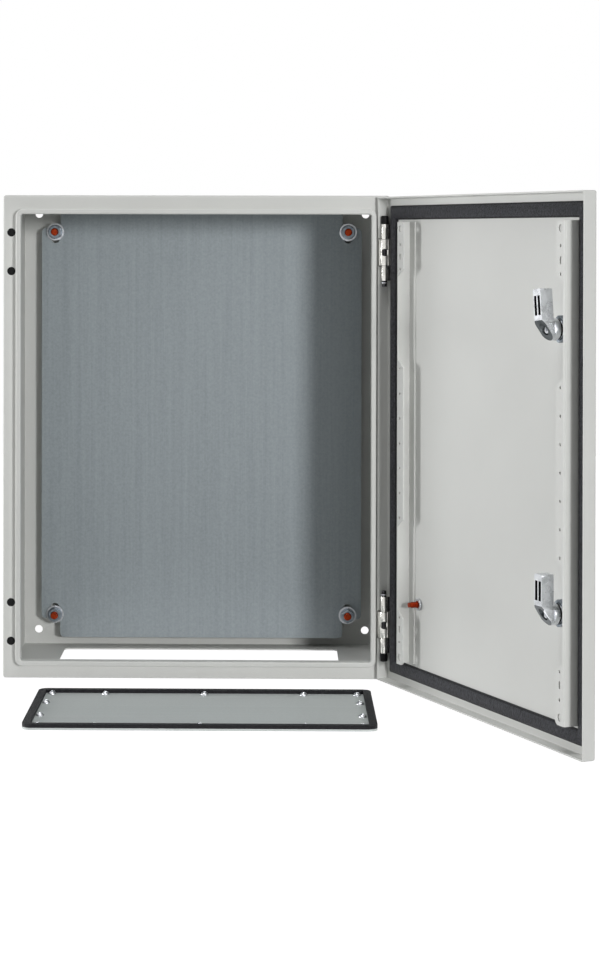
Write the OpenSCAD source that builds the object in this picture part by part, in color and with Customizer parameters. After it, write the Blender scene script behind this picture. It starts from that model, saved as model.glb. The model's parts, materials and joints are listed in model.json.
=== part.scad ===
// Steel wall enclosure with a hinged door, a mounting plate and a loose gland plate.
// Origin: centre of the four wall holes on the rear face. +X right, +Y to the wall, +Z up.
// The door is drawn shut in its own modules and turned open about its hinge axis at the end.

/* [Body] */
// Width of the body over its side walls
body_w = 400; // [380:1:600]
// Height of the body over its top and bottom walls
body_h = 500; // [480:1:700]
// Depth of the body from the wall face to its front flange
body_d = 193.5; // [185:0.5:300]
// Thickness of the body and door sheet
sheet = 1.5; // [1.3:0.1:1.7]
// Inside radius of a folded edge
fold_inside = 0.5; // [0.3:0.1:0.8]
// Inside radius of the body's four long corners
corner_inside = 1.5; // [1:0.1:3]
// Width of the flat front flange, from the side face to the rain lip
flange_w = 14.2; // [13.5:0.1:16]

/* [Rain lip] */
// Height of the rain lip in front of the flange
lip_h = 10.7; // [9:0.1:11]
// Width of the rain lip over its two walls
lip_w = 5.3; // [4.8:0.1:6]
// Depth of the lip's inner leg, measured back from its ridge
lip_return = 12.2; // [10:0.1:12.6]
// Outside radius of the rain lip's corners
lip_corner_r = 8; // [7:0.5:12]
// Radius of the rounded ridge edges
lip_edge_r = 1.5; // [0.8:0.1:2]
// Radius of the relief notch at each inner corner of the lip
relief_r = 1.2; // [0.8:0.1:2]

/* [Wall holes] */
// Distance from a wall hole to the nearest outer faces of the body
wall_hole_inset = 17.5; // [15:0.5:20]
// Diameter of a wall hole
wall_hole_d = 8.5; // [6:0.5:9]

/* [Gland opening and gland plate] */
// Width of the cable opening in the bottom wall
opening_w = 301; // [200:1:320]
// Depth of the cable opening in the bottom wall
opening_d = 131; // [80:1:135]
// Distance from the wall face to the cable opening
opening_back = 30.5; // [24:0.5:45]
// Corner radius of the cable opening
opening_r = 6; // [3:1:12]
// How far the gland plate covers the sheet at each end of the opening
gland_lap_x = 17.5; // [16:0.5:20]
// How far the gland plate covers the sheet before and behind the opening
gland_lap_y = 20; // [18:0.25:22]
// Thickness of the gland plate
gland_t = 2; // [1.5:0.5:3]
// Outside corner radius of the gland plate
gland_r = 9; // [6:1:12]
// Width of the seal strip on the gland plate
gland_seal_w = 7.6; // [6:0.1:9]
// Height of the seal strip on the gland plate
gland_seal_h = 3.5; // [3:0.5:5]
// Radius of a domed clinch nut on the gland plate
clinch_r = 4.1; // [3:0.1:4.5]
// How far a domed clinch nut stays below the top of the seal strip
clinch_drop = 0.5; // [0.3:0.1:1]
// Radius of the hole in a domed clinch nut
clinch_hole_r = 1.5; // [1:0.1:2]
// Gap left under the body when the gland plate is in its seat
gland_seat_gap = 0.3; // [0.2:0.1:1]
// Sideways place of the loose gland plate
gland_park_x = 10.8; // [0:0.1:20]
// Distance that the loose gland plate lies in front of its seat
gland_park_y = 224.6; // [205:0.1:260]
// Distance that the loose gland plate lies below its seat
gland_park_z = 1.45; // [1:0.05:30]

/* [Mounting plate] */
// Width of the mounting plate
plate_w = 355; // [340:1:360]
// Height of the mounting plate
plate_h = 476; // [460:1:480]
// Thickness of the mounting plate
plate_t = 2; // [1.5:0.5:3]
// Distance from the back panel to the mounting plate
plate_stand_off = 17; // [12:1:40]
// Distance between the stud columns
stud_dx = 325; // [300:1:330]
// Distance between the stud rows
stud_dz = 425; // [400:1:430]
// Diameter of a welded plate stud
stud_d = 8; // [6:0.5:8]
// How far a stud stands out of its nut
stud_show = 4; // [2:0.5:10]
// Width of the slot that a stud passes through
stud_slot_w = 9; // [8.5:0.1:9.5]
// Distance that each slot runs on past its stud, away from the notch
stud_slot_run = 8; // [6:0.5:16]
// Distance from a stud to the upright edge of the corner notch
notch_x = 5.8; // [5:0.1:8]
// Distance from a stud to the level edge of the corner notch
notch_z = 4.4; // [3:0.1:8]
// Corner radius of the mounting plate
plate_corner_r = 5; // [1:0.5:8]
// Diameter of a plate washer
washer_d = 19.5; // [17:0.5:21]
// Thickness of a plate washer
washer_t = 1.6; // [1:0.1:2.5]
// Width of a plate nut across its flats
nut_flats = 13; // [12.5:0.5:14]
// Height of a plate nut
nut_h = 8; // [5:0.5:8]
// Diameter of a spacer sleeve behind the plate
spacer_d = 13; // [11:0.5:15]

/* [Door] */
// Gap between the flange and the door's rim
door_gap = 3.5; // [3.3:0.1:4]
// Depth of the door over its front face and rim
door_d = 13; // [12:0.1:14]
// How far the door stays inside the body's side faces
side_reveal = 0.6; // [0.4:0.1:0.8]
// How far the door stays inside the body's top and bottom faces
end_reveal = 1.5; // [0.5:0.1:2]
// Angle by which the door stands open
door_open = 114; // [0:1:130]
// Width of the door's foam seal
seal_w = 14.5; // [10:0.5:15]
// Outside corner radius of the door's foam seal
seal_r = 9; // [6:1:14]
// Radius of the foam seal's rounded edges
seal_edge_r = 1.6; // [0.5:0.1:1.8]
// Offset of the foam seal from the lip's middle, towards the middle of the door
seal_shift = 0.9; // [0:0.1:1.5]
// Gap between the foam seal and the lip when the door is shut
seal_gap = 0.3; // [0.2:0.1:0.6]

/* [Hinges] */
// Distance from a hinge's middle to the nearest end of the body
hinge_from_end = 58.5; // [50:0.5:80]
// Distance from the side face of the body to the hinge axis
hinge_inset = 6; // [5.8:0.1:6.4]
// Distance from the flange to the hinge axis
hinge_out = 9; // [8.6:0.1:9.4]
// Gap between the body's knuckle and the shut door sheet
knuckle_gap = 1.4; // [1:0.1:2]
// Height of the body's knuckle
knuckle_h = 26.5; // [20:0.5:30]
// Height of one door barrel
barrel_h = 15.5; // [12:0.5:20]
// Radius of a hinge pin
pin_r = 2.5; // [2:0.1:2.7]
// Height of the black cap on a hinge pin
cap_h = 8.7; // [5:0.1:12]
// How far a hinge pin stands out at its other end
pin_tip = 6; // [4:0.5:8]
// Thickness of the hinge foot behind the flange
strap_t = 2; // [1.5:0.1:2]
// Distance between the two screws of a hinge, and between paired plugs
hinge_screw_dz = 40; // [38:1:44]
// Distance from the side face to the hinge screws and the plugs
flange_hole_inset = 8.6; // [8.5:0.1:8.8]
// Width of the strap that wraps round the pin
strap_w = 4.2; // [4:0.1:4.6]
// Diameter of the window drilled into the knuckle
window_d = 7.7; // [5:0.1:8]

/* [Locks] */
// Distance from the door's free edge to the lock axis
lock_inset = 46; // [45:0.5:54]
// Distance of each lock above and below the middle
lock_z = 126; // [110:1:140]
// Diameter of the lock barrel that passes through the door
barrel_d = 22.4; // [20:0.1:22.4]
// Diameter of the lock's outer collar
collar_d = 29; // [26:0.5:34]
// Height of the lock's outer collar
collar_h = 2.6; // [2:0.1:5]
// Diameter of the threaded tube that carries the lock nut
tube_d = 18; // [17:0.5:18]
// Side of the square washer under the lock nut
lock_washer_w = 24; // [23:0.5:26]
// Width of the lock nut across its flats
lock_nut_flats = 22; // [21:0.5:24]
// Height of the lock nut
lock_nut_h = 8; // [6:0.5:9]
// Thickness of the black ring between the lock and its cam
ring_h = 2.4; // [1:0.1:3]
// Diameter of a cam's hub
cam_hub_d = 20; // [18:0.5:22]
// Width of a cam's tongue
cam_w = 12.6; // [10:0.1:14]
// Thickness of a cam's tongue
cam_t = 12.2; // [8:0.1:14]
// Reach of a cam's tongue from the lock axis
cam_reach = 36; // [34:0.5:37]
// Gap between the lip's inner leg and a locked cam
cam_gap = 0.8; // [0.5:0.1:3]
// Lean of the upper cam towards the hinges
upper_lean = 6.5; // [0:0.5:10]

/* [Door rails and earth stud] */
// Distance from the door's free edge to the lock rail's web
lock_rail_inset = 25; // [25:0.5:26]
// Distance from the door's hinge edge to the hinge rail's web
hinge_rail_inset = 51; // [40:1:54]
// Height of a rail above the door sheet
rail_h = 15.5; // [12:0.5:16]
// Width of a rail's perforated flange
rail_flange = 15; // [13:0.5:16]
// Width of a rail's foot
rail_foot = 12; // [9:0.5:14]
// Width of the flange strip left beside a lock
rail_strip = 3; // [2.5:0.1:3]
// Distance from a rail's end to the door's end
rail_from_end = 26; // [25.5:0.5:27]
// Corner radius of a rail's ends
rail_end_r = 5; // [2:0.5:6]
// Length of the flange cut-out beside a lock, at its narrow end
cutout_len = 84; // [60:1:88]
// Length of the sloping end of a cut-out
cutout_slope = 8.5; // [4:0.5:10]
// Pitch of the rail's perforation
rail_pitch = 25; // [25:0.5:26]
// Diameter of a small rail hole
rail_hole_d = 3; // [3:0.1:5]
// Diameter of a large rail hole
rail_big_d = 7; // [5:0.1:7]
// Length of a rail slot
rail_slot_len = 7.2; // [6:0.1:9]
// Distance from the door's hinge edge to the earth stud
earth_inset = 72; // [65:1:90]
// Distance of the earth stud below the door's middle
earth_drop = 161; // [140:1:180]
// Diameter of the earth stud
earth_d = 6; // [5:0.5:8]
// Length of the earth stud
earth_len = 12; // [10:0.5:20]

/* [Fits] */
// Running clearance of a pin or lock plug in its bore, on the radius
fit = 0.05; // [0.02:0.01:0.1]
// Clearance between neighbours that don't run in each other
slack = 0.3; // [0.2:0.05:0.4]

/* [Hidden] */

$fn = 48;
eps = 0.01;
over = 1;

paint = [0.84, 0.85, 0.83];
galvanised = [0.55, 0.6, 0.62];
bright_steel = [0.75, 0.77, 0.8];
copper = [0.75, 0.4, 0.22];
black_plastic = [0.08, 0.08, 0.08];
foam = [0.17, 0.17, 0.19];

front_y = -body_d;
collar_seal_h = 0.6;
fold_r = sheet + fold_inside;
corner_r = sheet + corner_inside;
lip_w_out = body_w - 2 * flange_w;
lip_h_out = body_h - 2 * flange_w;
lip_gap = lip_w - 2 * sheet;
relief_inset = 0.6;
relief_len = 6.6;

door_w = body_w - 2 * side_reveal;
door_h = body_h - 2 * end_reveal;
door_face = door_gap + door_d;
door_inner = door_face - sheet;
door_inner_y = front_y - door_inner;
seal_h = door_inner - lip_h - seal_gap;
seal_mid = flange_w + lip_w / 2 + seal_shift;

hinge_x = body_w / 2 - hinge_inset;
hinge_y = front_y - hinge_out;
hinge_z = body_h / 2 - hinge_from_end;
weld_gap = 0.1;
door_barrel_r = hinge_inset - side_reveal - sheet - weld_gap;
knuckle_r = door_inner - hinge_out - knuckle_gap;
strap_offset = 1.6;
strap_lead = 1;
strap_x = -knuckle_r - strap_offset;
foot_lap = 0.8;
foot_x0 = strap_x - foot_lap;
foot_gap = 0.5;
foot_x1 = hinge_inset - sheet - foot_gap;
foot_margin = 9;
foot_h = hinge_screw_dz + 2 * foot_margin;
seam_inset = 1.6;
seam_w = 0.7;
seam_stop = 1.2;
lug_set_back = 0.6;
barrel_z0 = knuckle_h / 2 + slack;
barrel_z1 = barrel_z0 + barrel_h;
rim_notch_gap = 1.25;
rim_notch_h = knuckle_h + 2 * rim_notch_gap;
rim_notch_n = 0.5;
flange_hole_x = body_w / 2 - flange_hole_inset;
screw_r = 2.5;
screw_head_r = 4.3;
screw_head_h = 0.8;
screw_past_foot = 2;
screw_key = 3;
screw_key_floor = 0.2;
plug_stem_r = 3.3;
plug_stem_past = 3;
plug_head_h = 1;
pin_in_cap = cap_h - 2;
cap_bevel = 1;
clip_t = 0.8;
clip_middle = 2.15;
clip_mouth = 2;
groove_w = 0.9;
groove_depth = 0.6;

stud_r = stud_d / 2;
plate_front = sheet + plate_stand_off + plate_t;
stud_end = plate_front + washer_t + nut_h + stud_show;
stud_bevel = 0.6;
nut_flange_h = 1.2;
nut_flange_lap = 1.5;

lock_x = -(door_w / 2 - lock_inset);
barrel_r = barrel_d / 2;
cam_foot_r = cam_hub_d / 2;
tube_r = tube_d / 2;
plug_r = 6.4;
well_r = 8;
well_depth = 1;
washer_n1 = sheet;
nut_n0 = washer_n1;
nut_n1 = nut_n0 + lock_nut_h;
tube_show = 0.6;
tube_n1 = nut_n1 + tube_show;
lock_washer_lap = 2.2;
lock_washer_r = barrel_r + lock_washer_lap;
collar_bevel = 1;
collar_seal_inset = 0.3;
nut_corner_cut = 0.5;
leg_end_n = door_inner - lip_h + lip_return;
cam_n0 = leg_end_n + cam_gap;
cam_n1 = cam_n0 + cam_t;
ring_n1 = tube_n1 + ring_h;
hub_n0 = ring_n1;
tang = 7;
tang_floor = 1;
tang_n1 = cam_n0 - tang_floor;
tang_hole_depth = 6;
plug_recess = 0.6;
key_r = 3.6;
key_bit_w = 2;
key_bit_reach = 5.2;
key_pin_r = 1.6;
key_depth = 5;
cam_tip_r = 1.6;
cam_flat = 1.4;
cam_slope_start = 8;
cam_well_floor = 1;
cam_screw_r = 2;
cam_screw_len = 7;
cam_screw_key = 3;
cam_screw_key_depth = 1.8;
ring_inset = 0.8;
cam_screw_head_r = 3.6;
cam_screw_head_h = 3.2;
cam_well_r = 5.2;
cam_slot_w = 4;
cam_slot_rib = 2;
cam_slot_r0 = 12.5;
cam_slot_r1 = 30;
cam_slot_depth = 8;

rail_len = door_h - 2 * rail_from_end;
rail_slot_w = 3.5;
rail_big_inset = 7;
rail_slot_inset = 35.5;
rail_slot_z = rail_len / 2 - rail_slot_inset;
earth_step = 0.7;
earth_shoulder_r = earth_d / 2 + earth_step;
earth_shoulder_h = 2.6;
earth_shoulder_show = 0.2;
earth_washer_t = earth_shoulder_h - earth_shoulder_show;
earth_washer_lap = 3;
earth_bevel = 0.6;

gland_w = opening_w + 2 * gland_lap_x;
gland_d = opening_d + 2 * gland_lap_y;
gland_top = -body_h / 2 - gland_seat_gap - gland_park_z - gland_seal_h;
gland_x = gland_park_x;
opening_y = -opening_back - opening_d / 2;
gland_y = opening_y - gland_park_y;
clinch_h = gland_seal_h - clinch_drop;
clinch_gap = 0.6;
clinch_floor = 1;
clinch_inset = gland_seal_w + clinch_r + clinch_gap;
clinch_end_y = 29.6;
clinch_end_x = gland_w / 2 - clinch_inset;
clinch_corner_step = 1.7;
clinch_long_x = clinch_end_x - clinch_corner_step;
clinch_spread = 0.65;

// ---------------------------------------------------------------- shared shapes

// Flat rectangle with true round corners
module rounded_rect(w, h, r) {
    square([w - 2 * r, h], center = true);
    square([w, h - 2 * r], center = true);
    for (x = [-1, 1], y = [-1, 1])
        translate([x * (w / 2 - r), y * (h / 2 - r)])
            circle(r);
}

// Stands a flat drawing up at depth y, its x along X and its y along Z, thickened to the front
module upright(y) {
    translate([0, y, 0])
        rotate([90, 0, 0])
            children();
}

// Carries a flat profile round a rounded rectangle; its x is measured from the corner centre
module frame_sweep(w, h, r) {
    for (turn = [0 : 3]) {
        run = turn % 2 == 0 ? h : w;
        far = turn % 2 == 0 ? w : h;
        rotate([0, 0, 90 * turn]) {
            translate([far / 2 - r, run / 2 - r, 0])
                rotate([90, 0, 0])
                    linear_extrude(run - 2 * r)
                        children();
            translate([far / 2 - r, run / 2 - r, 0])
                rotate_extrude(angle = 90)
                    children();
        }
    }
}

// Square corner filler minus its quarter circle, for rounding an outer corner at the origin
module corner_cut(r) {
    difference() {
        translate([-r, -r])
            square([r + over, r + over]);
        translate([-r, -r])
            circle(r);
    }
}

// Quarter bend of sheet from the +x direction up to the +y direction, round the origin
module bend(inside) {
    intersection() {
        difference() {
            circle(inside + sheet);
            circle(inside);
        }
        square(inside + sheet + over);
    }
}

// Turns a shut door's pieces open about the hinge axis
module door_opened() {
    translate([hinge_x, hinge_y, 0])
        rotate([0, 0, door_open])
            translate([-hinge_x, -hinge_y, 0])
                children();
}

// Stands a shape on a lock axis: its z runs into the enclosure from the door sheet's inner face
module on_lock_axis(z) {
    translate([lock_x, door_inner_y, z])
        rotate([-90, 0, 0])
            children();
}

// Hexagonal prism by its width across flats
module hexagon(flats, h) {
    rotate([0, 0, 30])
        cylinder(h = h, r = flats / sqrt(3), $fn = 6);
}

// ---------------------------------------------------------------- body

// Side wall and its front fold, drawn from the corner centre outwards
module wall_profile() {
    translate([corner_r - sheet, -body_d])
        square([sheet, body_d - fold_r]);
    translate([corner_r - fold_r, -fold_r])
        bend(fold_inside);
}

// Rain lip: an upside-down channel, rounded on its ridge
module lip_profile() {
    difference() {
        translate([lip_corner_r - lip_w, lip_h - lip_return])
            square([lip_w, lip_return]);
        translate([lip_corner_r - lip_w + sheet, lip_h - lip_return - over])
            square([lip_gap, lip_return - sheet + over]);
        translate([lip_corner_r, lip_h])
            corner_cut(lip_edge_r);
        translate([lip_corner_r - lip_w, lip_h])
            mirror([1, 0])
                corner_cut(lip_edge_r);
    }
}

module flange_sheet() {
    translate([0, 0, -sheet])
        linear_extrude(sheet)
            difference() {
                rounded_rect(body_w - 2 * fold_r, body_h - 2 * fold_r, corner_r - fold_r);
                rounded_rect(lip_w_out - sheet, lip_h_out - sheet, lip_corner_r - sheet / 2);
            }
}

module lip_reliefs() {
    inner_w = lip_w_out - 2 * lip_w;
    inner_h = lip_h_out - 2 * lip_w;
    for (x = [-1, 1], z = [-1, 1])
        translate([
            x * (inner_w / 2 - relief_inset), z * (inner_h / 2 - relief_inset),
            lip_h - lip_return - over
        ])
            cylinder(h = relief_len + over, r = relief_r);
}

module flange_holes() {
    for (z = [-1, 1], step = [-1, 1]) {
        hole_z = z * hinge_z + step * hinge_screw_dz / 2;
        translate([-flange_hole_x, hole_z, -sheet - over])
            cylinder(h = sheet + 2 * over, r = plug_stem_r + fit);
        translate([flange_hole_x, hole_z, -sheet - over])
            cylinder(h = sheet + 2 * over, r = screw_r + fit);
    }
}

module strap_slots() {
    for (z = [-1, 1])
        translate([hinge_x + strap_x - slack, z * hinge_z - knuckle_h / 2 - slack, -sheet - over])
            cube([strap_w + 2 * slack, knuckle_h + 2 * slack, sheet + 2 * over]);
}

module gland_cut() {
    translate([0, opening_y, -body_h / 2 - over])
        linear_extrude(sheet + 2 * over)
            rounded_rect(opening_w, opening_d, opening_r);
}

module body_shell() {
    color(paint)
        difference() {
            upright(front_y)
                difference() {
                    union() {
                        frame_sweep(body_w, body_h, corner_r)
                            wall_profile();
                        flange_sheet();
                        frame_sweep(lip_w_out, lip_h_out, lip_corner_r)
                            lip_profile();
                    }
                    lip_reliefs();
                    flange_holes();
                    strap_slots();
                }
            gland_cut();
        }
}

// Flat rear wall, welded in between the side walls
module back_panel() {
    hole_x = body_w / 2 - wall_hole_inset;
    hole_z = body_h / 2 - wall_hole_inset;
    color(paint)
        upright(0)
            linear_extrude(sheet)
                difference() {
                    rounded_rect(body_w - 2 * sheet, body_h - 2 * sheet, corner_inside);
                    for (x = [-1, 1], z = [-1, 1])
                        translate([x * hole_x, z * hole_z])
                            circle(d = wall_hole_d);
                }
}

module at_studs() {
    for (x = [-1, 1], z = [-1, 1])
        translate([x * stud_dx / 2, 0, z * stud_dz / 2])
            rotate([90, 0, 0])
                children();
}

// Sheet outline with notched corners; each stud slot opens into its notch
module plate_outline() {
    cross_w = stud_dx - 2 * notch_x;
    cross_h = stud_dz + 2 * notch_z;
    difference() {
        union() {
            rounded_rect(plate_w, cross_h, plate_corner_r);
            rounded_rect(cross_w, plate_h, plate_corner_r);
        }
        for (x = [-1, 1], z = [-1, 1])
            translate([x * stud_dx / 2, z * stud_dz / 2])
                mirror([0, z > 0 ? 0 : 1]) {
                    translate([-stud_slot_w / 2, -stud_slot_run])
                        square([stud_slot_w, stud_slot_run + notch_z + over]);
                    translate([0, -stud_slot_run])
                        circle(d = stud_slot_w);
                }
    }
}

module mounting_plate() {
    color(galvanised)
        upright(-sheet - plate_stand_off)
            linear_extrude(plate_t)
                plate_outline();
}

module plate_studs() {
    color(copper)
        at_studs()
            translate([0, 0, sheet])
                union() {
                    cylinder(h = stud_end - sheet - stud_bevel, r = stud_r);
                    translate([0, 0, stud_end - sheet - stud_bevel])
                        cylinder(h = stud_bevel, r1 = stud_r, r2 = stud_r - stud_bevel);
                }
}

module plate_spacers() {
    color(bright_steel)
        at_studs()
            translate([0, 0, sheet])
                difference() {
                    cylinder(h = plate_stand_off, d = spacer_d);
                    translate([0, 0, -over])
                        cylinder(h = plate_stand_off + 2 * over, r = stud_r + fit);
                }
}

module plate_washers() {
    color(bright_steel)
        at_studs()
            translate([0, 0, plate_front])
                difference() {
                    cylinder(h = washer_t, d = washer_d);
                    translate([0, 0, -over])
                        cylinder(h = washer_t + 2 * over, r = stud_r + fit);
                }
}

module plate_nuts() {
    color(bright_steel)
        at_studs()
            translate([0, 0, plate_front + washer_t])
                difference() {
                    union() {
                        hexagon(nut_flats, nut_h);
                        cylinder(h = nut_flange_h, d = nut_flats + 2 * nut_flange_lap);
                    }
                    translate([0, 0, -over])
                        cylinder(h = nut_h + 2 * over, r = stud_r + fit);
                }
}

// Domed plugs that close the spare hinge holes in the left flange
module flange_plugs() {
    dome_r = (pow(screw_head_r, 2) + pow(plug_head_h, 2)) / (2 * plug_head_h);
    color(black_plastic)
        upright(front_y)
            for (z = [-1, 1], step = [-1, 1])
                translate([-flange_hole_x, z * hinge_z + step * hinge_screw_dz / 2, 0]) {
                    intersection() {
                        translate([0, 0, plug_head_h - dome_r])
                            sphere(r = dome_r);
                        cylinder(h = plug_head_h, r = screw_head_r);
                    }
                    translate([0, 0, -sheet - plug_stem_past])
                        cylinder(h = sheet + plug_stem_past + eps, r = plug_stem_r);
                }
}

// ---------------------------------------------------------------- hinges

// Body half of a hinge: foot behind the flange, strap through it, knuckle round the pin
module hinge_bracket(side) {
    strap_r = strap_w / 2;
    strap_start = strap_r - strap_lead;
    color(paint)
        translate([hinge_x, hinge_y, side * hinge_z])
            difference() {
                union() {
                    translate([foot_x0, hinge_out + sheet, -foot_h / 2])
                        cube([foot_x1 - foot_x0, strap_t, foot_h]);
                    translate([strap_x, strap_start, -knuckle_h / 2])
                        cube([strap_w, hinge_out + sheet + strap_t - strap_start, knuckle_h]);
                    translate([strap_x + strap_r, strap_start, -knuckle_h / 2])
                        cylinder(h = knuckle_h, r = strap_r);
                    translate([0, 0, -knuckle_h / 2])
                        cylinder(h = knuckle_h, r = knuckle_r);
                }
                translate([0, 0, -knuckle_h / 2 - over])
                    cylinder(h = knuckle_h + 2 * over, r = pin_r + fit);
                rotate([90, 0, 0])
                    cylinder(h = knuckle_r + over, d = window_d);
                translate([knuckle_r - seam_inset, -knuckle_r, -knuckle_h / 2 - over])
                    cube([seam_w, knuckle_r - seam_stop, knuckle_h + 2 * over]);
                for (step = [-1, 1])
                    translate([
                        hinge_inset - flange_hole_inset, hinge_out + sheet - over,
                        step * hinge_screw_dz / 2
                    ])
                        rotate([-90, 0, 0])
                            cylinder(h = strap_t + 2 * over, r = screw_r + fit);
            }
}

module hinge_bracket_upper() {
    hinge_bracket(1);
}

module hinge_bracket_lower() {
    hinge_bracket(-1);
}

module hinge_screws() {
    screw_len = sheet + strap_t + screw_past_foot;
    color(bright_steel)
        upright(front_y)
            for (z = [-1, 1], step = [-1, 1])
                translate([flange_hole_x, z * hinge_z + step * hinge_screw_dz / 2, 0])
                    difference() {
                        union() {
                            cylinder(h = screw_head_h, r = screw_head_r);
                            translate([0, 0, -screw_len])
                                cylinder(h = screw_len + eps, r = screw_r);
                        }
                        translate([0, 0, screw_key_floor])
                            hexagon(screw_key, screw_head_h);
                    }
}

// Two barrels welded to the door sheet, above and below the knuckle
module door_barrels(side) {
    lug_x0 = -door_barrel_r + lug_set_back;
    lug_x1 = door_barrel_r - weld_gap;
    color(paint)
        door_opened()
            translate([hinge_x, hinge_y, side * hinge_z])
                for (end = [-1, 1])
                    translate([0, 0, end > 0 ? barrel_z0 : -barrel_z1])
                        difference() {
                            union() {
                                cylinder(h = barrel_h, r = door_barrel_r);
                                translate([lug_x0, hinge_out - door_inner, 0])
                                    cube([lug_x1 - lug_x0, door_inner - hinge_out, barrel_h]);
                            }
                            translate([0, 0, -over])
                                cylinder(h = barrel_h + 2 * over, r = pin_r + fit);
                        }
}

module door_barrels_upper() {
    door_barrels(1);
}

module door_barrels_lower() {
    door_barrels(-1);
}

// The pin's cap end points away from the middle of the door
module hinge_pin(side) {
    color(bright_steel)
        door_opened()
            translate([hinge_x, hinge_y, side * hinge_z])
                mirror([0, 0, side > 0 ? 0 : 1])
                    difference() {
                        translate([0, 0, -barrel_z1 - pin_tip])
                            cylinder(h = 2 * barrel_z1 + pin_tip + pin_in_cap, r = pin_r);
                        translate([0, 0, -barrel_z1 - clip_middle])
                            difference() {
                                cylinder(h = groove_w, r = pin_r + over, center = true);
                                cylinder(h = groove_w + over, r = pin_r - groove_depth, center = true);
                            }
                    }
}

module hinge_pin_upper() {
    hinge_pin(1);
}

module hinge_pin_lower() {
    hinge_pin(-1);
}

module pin_caps() {
    cap_r = door_barrel_r;
    color(black_plastic)
        door_opened()
            for (side = [-1, 1])
                translate([hinge_x, hinge_y, side * (hinge_z + barrel_z1)])
                    mirror([0, 0, side > 0 ? 0 : 1])
                        difference() {
                            union() {
                                cylinder(h = cap_h - cap_bevel, r = cap_r);
                                translate([0, 0, cap_h - cap_bevel])
                                    cylinder(h = cap_bevel, r1 = cap_r, r2 = cap_r - cap_bevel);
                            }
                            translate([0, 0, -over])
                                cylinder(h = pin_in_cap + over, r = pin_r + fit);
                        }
}

// Spring clips that snap into the groove at the free end of each pin
module pin_clips() {
    clip_r = door_barrel_r - weld_gap;
    color(bright_steel)
        door_opened()
            for (side = [-1, 1])
                translate([hinge_x, hinge_y, side * (hinge_z - barrel_z1 - clip_middle)])
                    difference() {
                        cylinder(h = clip_t, r = clip_r, center = true);
                        cylinder(h = clip_t + over, r = pin_r - groove_depth + fit, center = true);
                        translate([0, -clip_mouth / 2, -clip_t])
                            cube([clip_r + over, clip_mouth, 2 * clip_t]);
                    }
}

// ---------------------------------------------------------------- door

module door_rim_profile() {
    translate([0, fold_r])
        mirror([0, 1])
            bend(fold_inside);
    translate([fold_r - sheet, fold_r])
        square([sheet, door_d - fold_r]);
}

// Folded tray, open to the body, notched at the knuckles and drilled for the locks
module door_panel() {
    color(paint)
        door_opened()
            difference() {
                translate([0, front_y - door_face, 0])
                    rotate([-90, 0, 0])
                        union() {
                            linear_extrude(sheet)
                                square([door_w - 2 * fold_r, door_h - 2 * fold_r], center = true);
                            frame_sweep(door_w, door_h, fold_r)
                                door_rim_profile();
                        }
                for (side = [-1, 1]) {
                    translate([
                        door_w / 2 - sheet - slack, door_inner_y + rim_notch_n,
                        side * hinge_z - rim_notch_h / 2
                    ])
                        cube([sheet + 2 * slack, door_d, rim_notch_h]);
                    on_lock_axis(side * lock_z)
                        translate([0, 0, -sheet - over])
                            cylinder(h = sheet + 2 * over, r = barrel_r + fit);
                }
            }
}

// Foam seal, lying where the rain lip presses; its free edges are rounded
module door_seal() {
    outer_w = body_w - 2 * seal_mid + seal_w;
    outer_h = body_h - 2 * seal_mid + seal_w;
    inner_w = outer_w - 2 * seal_w;
    inner_h = outer_h - 2 * seal_w;
    color(foam)
        door_opened()
            translate([0, door_inner_y, 0])
                rotate([-90, 0, 0])
                    difference() {
                        linear_extrude(seal_h)
                            difference() {
                                rounded_rect(outer_w, outer_h, seal_r);
                                square([inner_w, inner_h], center = true);
                            }
                        frame_sweep(outer_w, outer_h, seal_r)
                            translate([seal_r, seal_h])
                                corner_cut(seal_edge_r);
                        for (turn = [0 : 3]) {
                            run = turn % 2 == 0 ? inner_h : inner_w;
                            far = turn % 2 == 0 ? inner_w : inner_h;
                            rotate([0, 0, 90 * turn])
                                translate([far / 2, run / 2, seal_h])
                                    rotate([90, 0, 0])
                                        linear_extrude(run)
                                            mirror([1, 0])
                                                corner_cut(seal_edge_r);
                        }
                    }
}

// Section of a rail: x runs from the web to the middle of the door, y away from the sheet
module rail_profile() {
    translate([0, fold_r])
        square([sheet, rail_h - 2 * fold_r]);
    translate([fold_r, 0])
        square([rail_foot - fold_r, sheet]);
    translate([fold_r, rail_h - sheet])
        square([rail_flange - fold_r, sheet]);
    translate([fold_r, fold_r])
        rotate(180)
            bend(fold_inside);
    translate([fold_r, rail_h - fold_r])
        rotate(90)
            bend(fold_inside);
}

// Outline of the flange that is cut away beside a lock
module cutout_outline() {
    polygon([
        [rail_strip, cutout_len / 2],
        [rail_strip, -cutout_len / 2],
        [rail_flange + over, -cutout_len / 2 - cutout_slope],
        [rail_flange + over, cutout_len / 2 + cutout_slope]
    ]);
}

// Perforation of the rail's flange, along the flange's middle line
module rail_hole_row() {
    mid = rail_flange / 2;
    slot_half = (rail_slot_len - rail_slot_w) / 2;
    half_count = floor((rail_len / 2 - rail_big_inset - rail_big_d) / rail_pitch);
    cut_half = (cutout_len + cutout_slope + rail_hole_d) / 2;
    for (i = [-half_count : half_count])
        if (abs(abs(i) * rail_pitch - lock_z) > cut_half)
            translate([mid, i * rail_pitch])
                circle(d = rail_hole_d);
    for (side = [-1, 1]) {
        translate([mid, side * (rail_len / 2 - rail_big_inset)])
            circle(d = rail_big_d);
        translate([mid, side * rail_slot_z]) {
            square([rail_slot_w, 2 * slot_half], center = true);
            for (end = [-1, 1])
                translate([0, end * slot_half])
                    circle(d = rail_slot_w);
        }
    }
}

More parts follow.
